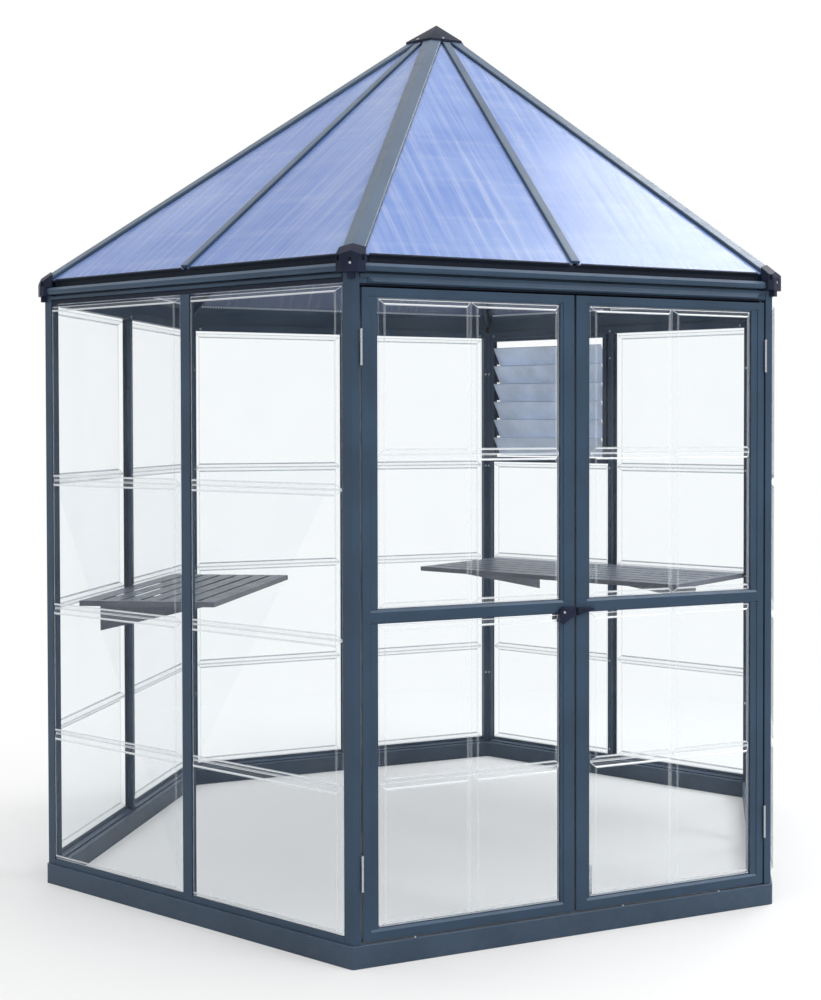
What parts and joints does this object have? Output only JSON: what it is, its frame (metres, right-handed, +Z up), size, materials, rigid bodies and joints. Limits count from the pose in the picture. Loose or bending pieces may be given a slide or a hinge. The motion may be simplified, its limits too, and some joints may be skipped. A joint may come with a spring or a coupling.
{
  "type": "hexagonal garden greenhouse",
  "caption": "Six-sided garden greenhouse with a dark metal frame, pressed clear sheets, a twin-wall pyramid roof with gutters and outward-opening double doors.",
  "frame": {"origin": "on the ground, under the centre of the hexagon", "axes": "+Z up, the door wall faces -Y, corners on the X axis and every 60 degrees round"},
  "size_m": [2.4602, 2.152, 2.64],
  "materials": {
    "dark_frame": "satin",
    "black_plastic": "matte",
    "bright_metal": "satin",
    "clear_sheet": "gloss",
    "twinwall_sheet": "satin",
    "shelf_metal": "satin"
  },
  "bodies": {
    "greenhouse": {"base_kerb": "dark_frame", "corner_posts": "dark_frame", "mullions": "dark_frame", "bottom_rails": "dark_frame", "top_rails": "dark_frame", "pane_seals": "black_plastic", "door_header": "dark_frame", "header_seal": "black_plastic", "gutters": "dark_frame", "gutter_corners": "black_plastic", "hip_bars": "dark_frame", "mid_bars": "dark_frame", "crown_cap": "black_plastic", "roof_hub": "black_plastic", "jamb_hinges": "bright_metal", "louvre_frame": "dark_frame", "louvre_holders": "black_plastic", "louvre_slats": "twinwall_sheet", "shelf_arms": "shelf_metal", "shelf_left": "shelf_metal", "shelf_right": "shelf_metal", "roof_sheets_front": "twinwall_sheet", "roof_sheets_right": "twinwall_sheet", "roof_sheets_right_back": "twinwall_sheet", "roof_sheets_back": "twinwall_sheet", "roof_sheets_left_back": "twinwall_sheet", "roof_sheets_left": "twinwall_sheet", "panes_right": "clear_sheet", "panes_right_back": "clear_sheet", "panes_back": "clear_sheet", "panes_left_back": "clear_sheet", "panes_left_front": "clear_sheet"},
    "left_door": {"door_frame_left": "dark_frame", "door_panes_left": "clear_sheet", "leaf_hinges_left": "bright_metal", "door_handle": "black_plastic"},
    "right_door": {"door_frame_right": "dark_frame", "door_panes_right": "clear_sheet", "leaf_hinges_right": "bright_metal", "handle_keeper": "black_plastic", "drop_bolt": "bright_metal"}
  },
  "joints": [
    {"name": "left_door_hinge", "type": "hinge", "parent": "greenhouse", "child": "left_door", "pos_m": [-0.5832, -1.056, 0.886], "axis": [0, 0, -1], "range_deg": [0, 110]},
    {"name": "right_door_hinge", "type": "hinge", "parent": "greenhouse", "child": "right_door", "pos_m": [0.5832, -1.056, 0.886], "axis": [0, 0, 1], "range_deg": [0, 110]}
  ]
}
